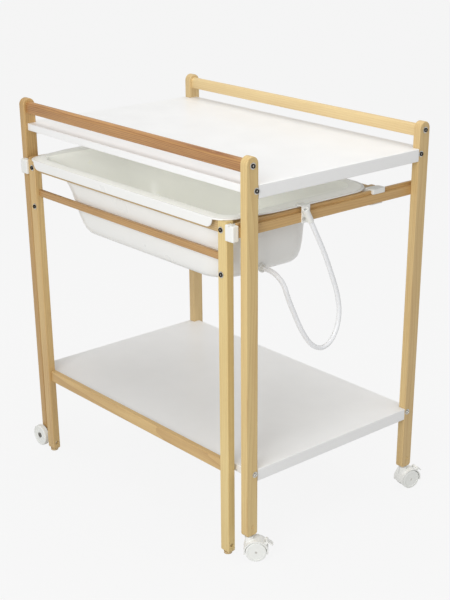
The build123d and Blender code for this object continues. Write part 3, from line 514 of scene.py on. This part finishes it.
def ringTree():  # a rounded ring round each point, facing the way the point's attribute says
    tree = bpy.data.node_groups.new("boltRings", "GeometryNodeTree")
    face = tree.interface
    face.new_socket(name="Places", in_out="INPUT", socket_type="NodeSocketGeometry")
    sizes = {}
    for name in ("Inner Radius", "Outer Radius", "Height", "Lift", "Edge Round"):
        sizes[name] = face.new_socket(name=name, in_out="INPUT", socket_type="NodeSocketFloat")
    sizes["Finish"] = face.new_socket(name="Finish", in_out="INPUT", socket_type="NodeSocketMaterial")
    face.new_socket(name="Rings", in_out="OUTPUT", socket_type="NodeSocketGeometry")
    link = tree.links.new
    add = tree.nodes.new
    start, end = add("NodeGroupInput"), add("NodeGroupOutput")

    def value(operation, first, second):
        node = add("ShaderNodeMath")
        node.operation = operation
        for socket, source in zip(node.inputs, (first, second)):
            if isinstance(source, (int, float)):
                socket.default_value = source
            else:
                link(source, socket)
        return node.outputs[0]

    inner, outer = start.outputs["Inner Radius"], start.outputs["Outer Radius"]
    path = add("GeometryNodeCurvePrimitiveCircle")
    path.inputs["Resolution"].default_value = 28
    link(value("MULTIPLY", value("ADD", inner, outer), 0.5), path.inputs["Radius"])
    section = add("GeometryNodeCurvePrimitiveQuadrilateral")
    link(value("SUBTRACT", outer, inner), section.inputs["Width"])
    link(start.outputs["Height"], section.inputs["Height"])
    soft = add("GeometryNodeFilletCurve")
    soft.mode = "POLY"
    soft.inputs["Count"].default_value = 3
    link(section.outputs[0], soft.inputs["Curve"])
    link(start.outputs["Edge Round"], soft.inputs["Radius"])
    ring = add("GeometryNodeCurveToMesh")
    link(path.outputs[0], ring.inputs["Curve"])
    link(soft.outputs[0], ring.inputs["Profile Curve"])
    raised = add("GeometryNodeTransform")
    offset = add("ShaderNodeCombineXYZ")
    half = value("MULTIPLY", start.outputs["Height"], 0.5)
    link(value("ADD", start.outputs["Lift"], half), offset.inputs["Z"])
    link(ring.outputs[0], raised.inputs["Geometry"])
    link(offset.outputs[0], raised.inputs["Translation"])
    facing = add("GeometryNodeInputNamedAttribute")
    facing.data_type = "FLOAT_VECTOR"
    facing.inputs["Name"].default_value = "facing"
    turn = add("FunctionNodeAlignRotationToVector")
    turn.axis = "Z"
    link(facing.outputs["Attribute"], turn.inputs["Vector"])
    points = add("GeometryNodeMeshToPoints")
    link(start.outputs["Places"], points.inputs["Mesh"])
    placed = add("GeometryNodeInstanceOnPoints")
    link(points.outputs[0], placed.inputs["Points"])
    link(raised.outputs[0], placed.inputs["Instance"])
    link(turn.outputs[0], placed.inputs["Rotation"])
    real = add("GeometryNodeRealizeInstances")
    link(placed.outputs[0], real.inputs[0])
    finished = add("GeometryNodeSetMaterial")
    link(real.outputs[0], finished.inputs["Geometry"])
    link(start.outputs["Finish"], finished.inputs["Material"])
    link(finished.outputs[0], end.inputs[0])
    return tree, {name: socket.identifier for name, socket in sizes.items()}


boltRings, ringSockets = ringTree()


def plainMesh(maker, name):  # the result of an object's nodes as a piece of its own
    bpy.context.view_layer.update()
    seen = maker.evaluated_get(bpy.context.evaluated_depsgraph_get())
    mesh = bpy.data.meshes.new_from_object(seen)
    bpy.data.objects.remove(maker)
    for polygon in mesh.polygons:
        polygon.use_smooth = True
    piece = bpy.data.objects.new(name, mesh)
    bpy.context.scene.collection.objects.link(piece)
    return piece


def ringsAt(name, places, body, finishOf, inner, outer, high, lift, soft):
    mesh = bpy.data.meshes.new(name)
    mesh.from_pydata([place for place, facing in places], [], [])
    attribute = mesh.attributes.new("facing", "FLOAT_VECTOR", "POINT")
    for item, (place, facing) in zip(attribute.data, places):
        item.vector = facing
    maker = bpy.data.objects.new(name + "_maker", mesh)
    bpy.context.scene.collection.objects.link(maker)
    modifier = maker.modifiers.new("rings", "NODES")
    modifier.node_group = boltRings
    values = {"Inner Radius": inner, "Outer Radius": outer, "Height": high, "Lift": lift, "Edge Round": soft,
              "Finish": finishOf}
    for key, value in values.items():
        modifier[ringSockets[key]] = value
    piece = plainMesh(maker, name)
    shape = bmesh.new()
    shape.from_mesh(piece.data)
    bmesh.ops.remove_doubles(shape, verts=shape.verts, dist=1e-6)
    bmesh.ops.recalc_face_normals(shape, faces=shape.faces)
    shape.to_mesh(piece.data)
    shape.free()
    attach(piece, body)
    return piece


def boltPlaces():
    shiftX, shiftY = bolts["shift"]
    kinds = {"rail": [], "board": [], "shelf": [], "leg": []}
    for kind in ("rail", "board", "shelf"):
        y, z = bolts[kind]
        for side in (1, -1):
            for depth in (1, -1):
                kinds[kind].append(((side * bolts["postFace"] + shiftX, depth * y + shiftY, z), (side, 0, 0)))
    for side in (1, -1):
        for z in bolts["legHeights"]:
            kinds["leg"].append(((side * bolts["legPlace"] + shiftX, bolts["legFace"] + shiftY, z), (0, -1, 0)))
    return kinds


def makeBolts():
    kinds = boltPlaces()
    groups = {
        # set: places, body, the nodes replaced by the heads and by the washers, the heads' finish
        "post": (
            kinds["rail"] + kinds["board"], "frame", ("top_rail_bolts", "changing_panel_bolts"), darkSteel),
        "shelf": (kinds["shelf"], "frame", ("shelf_bolts",), brightSteel),
        "leg": (kinds["leg"], "bath_carriage", ("bath_leg_bolts",), darkSteel),
    }
    high = bolts["washerHigh"]
    for name, (places, body, replaced, steel) in groups.items():
        heads = ringsAt(
            name + "_bolt_heads", places, body, steel, bolts["headInner"], bolts["headOuter"],
            bolts["headHigh"], high, 0.0012)
        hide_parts(*replaced)
        floors = ringsAt(
            name + "_bolt_sockets", places, body, brightSteel, 0.0001, bolts["headInner"] + 0.0001,
            bolts["headHigh"] / 3, high, 0.00001)
    washers = ringsAt(
        "post_bolt_washers", kinds["rail"] + kinds["board"] + kinds["shelf"], "frame", brightSteel,
        bolts["washerInner"], bolts["washerOuter"], high, 0, 0.0003)
    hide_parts("post_washers")
    washers = ringsAt(
        "leg_bolt_washers", kinds["leg"], "bath_carriage", brightSteel,
        bolts["washerInner"], bolts["washerOuter"], high, 0, 0.0003)
    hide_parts("bath_leg_washers")


makeBolts()
print("bolts finished")


hose = {
    # edge is the grey of the painted shade on the tube's sides. glow is the strength of the hose's painted
    # glow.
    "radius": 0.00575, "length": 0.677, "glow": 0.06, "colour": (242, 243, 245), "edge": (150, 154, 158),
    "bendStart": (0.3925, -0.0467, 0.460), "bendEnd": (0.3925, 0.0423, 0.5056),
    "route": [
        (0.3405, -0.163, 0.675), (0.3626, -0.163, 0.675), (0.3821, -0.1599, 0.6644), (0.3938, -0.1528, 0.6458),
        (0.394, -0.1433, 0.6171), (0.392, -0.123, 0.578), (0.392, -0.0995, 0.530), (0.392, -0.0698, 0.486),
        (0.392, -0.037, 0.463), (0.392, -0.0086, 0.465), (0.392, 0.0135, 0.485), (0.392, 0.0257, 0.516),
        (0.3925, 0.0267, 0.5525), (0.395, 0.0136, 0.597), (0.3995, -0.0098, 0.6435), (0.406, -0.040, 0.700),
        (0.4115, -0.0724, 0.752), (0.413, -0.0936, 0.788)],
}


def hoseRoute(name):
    curve = bpy.data.curves.new(name, "CURVE")
    curve.dimensions = "3D"
    curve.resolution_u = 10
    spline = curve.splines.new("NURBS")
    spline.points.add(len(hose["route"]) - 1)
    for point, place in zip(spline.points, hose["route"]):
        point.co = (*place, 1)
    spline.order_u = 3
    spline.use_endpoint_u = True
    line = bpy.data.objects.new(name, curve)
    bpy.context.scene.collection.objects.link(line)
    return line


def makeHose():
    line = hoseRoute("hose_route")
    bpy.context.view_layer.update()
    depsgraph = bpy.context.evaluated_depsgraph_get()
    bare = bpy.data.meshes.new_from_object(line.evaluated_get(depsgraph))
    path = [tuple(v.co) for v in bare.vertices]
    line.data.bevel_depth = hose["radius"]
    line.data.bevel_resolution = 5
    line.data.use_fill_caps = False
    depsgraph = bpy.context.evaluated_depsgraph_get()
    depsgraph.update()
    mesh = bpy.data.meshes.new_from_object(line.evaluated_get(depsgraph))
    bpy.data.objects.remove(line)
    tube = bpy.data.objects.new("hose_tube", mesh)
    bpy.context.scene.collection.objects.link(tube)
    for polygon in mesh.polygons:
        polygon.use_smooth = True
    return tube, path


def hoseMaterial():
    material, tree, shader = newMaterial("clear grey vinyl")
    vector = objectPlace(tree, (0.0, 0.0, 0.0))
    skin = placeGroup(tree, mouldedSkin, vector, {
        "Color": linear(hose["colour"]), "Grain Size": 0.004, "Roughness": 0.3})
    # Painted shade: the tube's sides are mixed toward the edge grey by viewing angle, standing in for how light
    # passes the clear vinyl.
    edge = tree.nodes.new("ShaderNodeLayerWeight")
    edge.inputs["Blend"].default_value = 0.22
    rim = mathNode(tree, "POWER", edge.outputs["Facing"], 2.2)
    paintedEdgeShadeShare = mathNode(tree, "MULTIPLY", rim, 0.75)
    shade = mixColour(tree, paintedEdgeShadeShare, skin.outputs["Color"], linear(hose["edge"]))
    tree.links.new(shade, shader.inputs["Base Color"])
    tree.links.new(skin.outputs["Roughness"], shader.inputs["Roughness"])
    # Painted glow: the hose glows faintly though it is no lamp, standing in for light through the clear vinyl.
    shader.inputs["Emission Color"].default_value = linear((246, 247, 248))
    shader.inputs["Emission Strength"].default_value = hose["glow"]
    return material


hoseTube, hosePath = makeHose()
hoseTube.data.materials.clear()
hoseTube.data.materials.append(hoseMaterial())
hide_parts("drain_hose")
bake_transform(hoseTube)
print("hose finished:", len(hosePath), "points on its line")


studio = {
    "floorReach": 60, "lampTarget": (0, 0, 0.6),
    "paleGrey": (251, 251, 251), "farGrey": (245, 245, 245), "floorShade": 0.56, "floorGlow": 0.92,
    "worldStrength": 0.53,
    "topPlace": (0.1, 0.4, 3.4), "topSize": 3.0, "topPower": 43,
    "keyPlace": (1.5, -2.85, 1.8), "keySize": 1.8, "keyPower": 55,
}


def makeFloor():
    reach = studio["floorReach"]
    corners = [(-reach, -reach, 0), (reach, -reach, 0), (reach, reach, 0), (-reach, reach, 0)]
    mesh = bpy.data.meshes.new("floor")
    mesh.from_pydata(corners, [], [(0, 1, 2, 3)])
    floor = bpy.data.objects.new("floor", mesh)
    bpy.context.scene.collection.objects.link(floor)
    material = bpy.data.materials.new("pale floor")
    material.use_nodes = True
    tree = material.node_tree
    tree.nodes.clear()
    output = tree.nodes.new("ShaderNodeOutputMaterial")
    mix = tree.nodes.new("ShaderNodeMixShader")
    glow = tree.nodes.new("ShaderNodeEmission")
    glow.inputs["Color"].default_value = linear(studio["paleGrey"])
    cover = tree.nodes.new("ShaderNodeBsdfDiffuse")
    cover.inputs["Color"].default_value = (studio["floorShade"],) * 3 + (1,)
    path = tree.nodes.new("ShaderNodeLightPath")
    seen = mathNode(tree, "MAXIMUM", path.outputs["Is Camera Ray"], path.outputs["Is Glossy Ray"])
    seen = mathNode(tree, "MAXIMUM", seen, path.outputs["Is Transmission Ray"])
    share = mathNode(tree, "MULTIPLY", seen, studio["floorGlow"])
    tree.links.new(share, mix.inputs[0])
    tree.links.new(cover.outputs[0], mix.inputs[1])
    tree.links.new(glow.outputs[0], mix.inputs[2])
    tree.links.new(mix.outputs[0], output.inputs["Surface"])
    mesh.materials.append(material)


def makeWorld(strength):
    world = bpy.data.worlds.new("studio")
    bpy.context.scene.world = world
    world.use_nodes = True
    tree = world.node_tree
    tree.nodes.clear()
    output = tree.nodes.new("ShaderNodeOutputWorld")
    mix = tree.nodes.new("ShaderNodeMixShader")
    room = tree.nodes.new("ShaderNodeBackground")
    room.inputs["Color"].default_value = (1, 1, 1, 1)
    room.inputs["Strength"].default_value = strength
    backdrop = tree.nodes.new("ShaderNodeBackground")
    backdrop.inputs["Color"].default_value = linear(studio["farGrey"])
    path = tree.nodes.new("ShaderNodeLightPath")
    seen = mathNode(tree, "MAXIMUM", path.outputs["Is Camera Ray"], path.outputs["Is Transmission Ray"])
    tree.links.new(seen, mix.inputs[0])
    tree.links.new(room.outputs[0], mix.inputs[1])
    tree.links.new(backdrop.outputs[0], mix.inputs[2])
    tree.links.new(mix.outputs[0], output.inputs["Surface"])


def makeLamp(name, place, target, size, power):
    lamp = bpy.data.lights.new(name, "AREA")
    lamp.shape = "SQUARE"
    lamp.size = size
    lamp.energy = power
    holder = bpy.data.objects.new(name, lamp)
    holder.location = place
    holder.rotation_euler = (Vector(target) - Vector(place)).to_track_quat("-Z", "Y").to_euler()
    bpy.context.scene.collection.objects.link(holder)


makeFloor()
makeWorld(studio["worldStrength"])
for lampName in ("top", "key"):
    place, size, power = (studio[lampName + part] for part in ("Place", "Size", "Power"))
    makeLamp(lampName, place, studio["lampTarget"], size, power)


viewpoint = {
    "place": (2.3204, -1.9709, 1.5540),
    "forward": (-0.6774, 0.6139, -0.4053),
    "rollDegrees": 0.24,
    "lens": 1247.09 / 600 * 36,
    "shiftX": -35.21 / 600,
    "shiftY": 94.60 / 600,
}


def makeCamera():
    data = bpy.data.cameras.new("camera")
    data.sensor_fit = "VERTICAL"
    data.sensor_height = 36
    data.sensor_width = 27
    data.lens = viewpoint["lens"]
    data.shift_x = viewpoint["shiftX"]
    data.shift_y = viewpoint["shiftY"]
    data.clip_end = 200
    camera = bpy.data.objects.new("camera", data)
    forward = Vector(viewpoint["forward"]).normalized()
    right = forward.cross(Vector((0, 0, 1))).normalized()
    up = right.cross(forward)
    roll = math.radians(viewpoint["rollDegrees"])
    tiltedRight = math.cos(roll) * right + math.sin(roll) * up
    tiltedUp = tiltedRight.cross(forward)
    turned = Matrix((tiltedRight, tiltedUp, -forward)).transposed().to_4x4()
    camera.matrix_world = Matrix.Translation(viewpoint["place"]) @ turned
    bpy.context.scene.collection.objects.link(camera)
    bpy.context.scene.camera = camera


makeCamera()
bpy.context.scene.view_settings.view_transform = "Standard"
print("studio ready")
